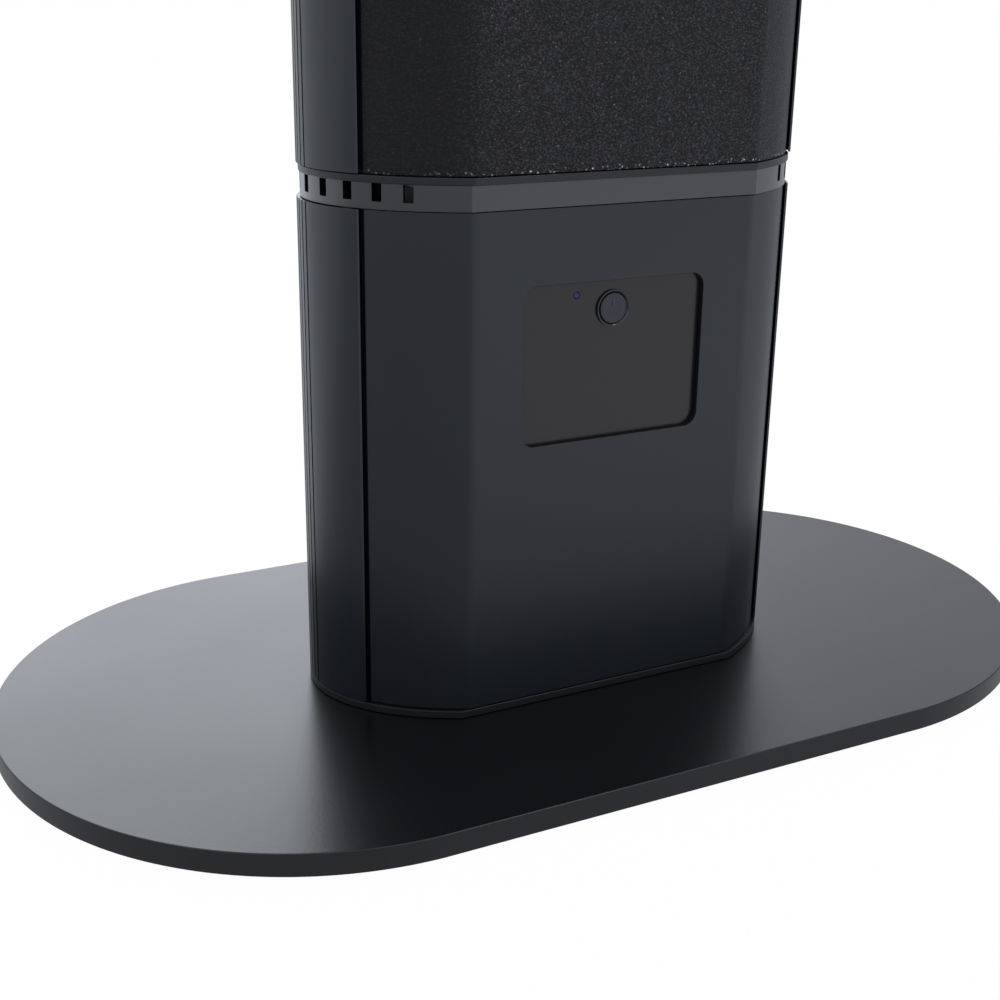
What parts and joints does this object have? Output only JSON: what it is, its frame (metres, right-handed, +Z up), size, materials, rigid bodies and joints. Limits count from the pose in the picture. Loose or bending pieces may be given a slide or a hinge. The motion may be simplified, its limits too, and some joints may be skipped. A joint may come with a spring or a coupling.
{
  "type": "infrared patio heater tower",
  "caption": "Free-standing infrared heater tower: an oval column with a dark control window and mesh-covered lamps on a stadium-shaped steel plate.",
  "frame": {"origin": "on the floor under the middle of the base plate; the tower's own middle is 5 mm in front of it", "axes": "+Z up; the control window and the lamps face -Y; +X is the viewer's right when facing the window"},
  "size_m": [0.58, 0.322, 1.05],
  "materials": {
    "black_coat": "satin black coat on folded steel sheet",
    "black_plastic": "satin moulded plastic",
    "blue_lens": "clear blue",
    "board_laminate": "green solder mask",
    "carbon": "woven carbon, dull",
    "ceramic": "unglazed",
    "gloss_ring": "polished black",
    "lead_sleeve": "woven glass sleeve",
    "mesh_black": "fine black mesh, slightly glossy",
    "plate_coat": "satin black powder coat with a fine leather texture",
    "quartz": "clear",
    "reflector_aluminium": "polished",
    "relay_plastic": "moulded",
    "rubber": "matt",
    "sheet_steel": "plain galvanised sheet",
    "shell_coat": "satin black coat on an aluminium extrusion",
    "terminal_plastic": "moulded",
    "window_plastic": "smooth dark plastic that passes infrared light",
    "zinc_steel": "zinc plated"
  },
  "bodies": {
    "tower": {"base_bolt_1": "zinc_steel", "base_bolt_2": "zinc_steel", "base_bolt_3": "zinc_steel", "base_bolt_4": "zinc_steel", "base_plate": "plate_coat", "button_ring": "gloss_ring", "cable_gland": "black_plastic", "cap_screw_1": "zinc_steel", "cap_screw_2": "zinc_steel", "cap_screw_3": "zinc_steel", "cap_screw_4": "zinc_steel", "carbon_filament_1": "carbon", "carbon_filament_2": "carbon", "control_board": "board_laminate", "control_window": "window_plastic", "foot_pad_1": "rubber", "foot_pad_2": "rubber", "foot_pad_3": "rubber", "foot_pad_4": "rubber", "foot_ring": "black_plastic", "foot_screw_1": "zinc_steel", "foot_screw_2": "zinc_steel", "foot_screw_3": "zinc_steel", "foot_screw_4": "zinc_steel", "gland_nut": "black_plastic", "heater_chassis": "sheet_steel", "indicator_light": "blue_lens", "infrared_receiver": "gloss_ring", "joint_stud_1": "zinc_steel", "joint_stud_2": "zinc_steel", "joint_stud_3": "zinc_steel", "joint_stud_4": "zinc_steel", "lamp_bracket_lower": "sheet_steel", "lamp_bracket_upper": "sheet_steel", "lamp_cap_lower_1": "ceramic", "lamp_cap_lower_2": "ceramic", "lamp_cap_upper_1": "ceramic", "lamp_cap_upper_2": "ceramic", "lamp_lead_1": "lead_sleeve", "lamp_lead_2": "lead_sleeve", "lamp_lead_3": "lead_sleeve", "lower_front_cover": "black_coat", "lower_rear_shell": "shell_coat", "mesh_guard": "mesh_black", "push_switch": "black_plastic", "quartz_tube_1": "quartz", "quartz_tube_2": "quartz", "reflector": "reflector_aluminium", "relay_1": "relay_plastic", "relay_2": "relay_plastic", "terminal_block": "terminal_plastic", "thermal_cutout": "ceramic", "tilt_bracket": "sheet_steel", "tilt_pin": "zinc_steel", "top_cap": "black_plastic", "upper_rear_shell": "shell_coat", "vent_collar": "black_plastic"},
    "button": {"power_button": "black_plastic", "switch_plunger": "terminal_plastic"},
    "pendulum": {"tilt_pendulum": "zinc_steel"}
  },
  "joints": [
    {"name": "power_button_press", "type": "slide", "parent": "tower", "child": "button", "axis": [0, 1, 0], "range_m": [0, 0.0012], "stiffness_N_per_m": 1500},
    {"name": "tilt_swing", "type": "hinge", "parent": "tower", "child": "pendulum", "pos_m": [-0.045, 0, 0.0561], "axis": [1, 0, 0], "range_deg": [-25, 25]}
  ]
}
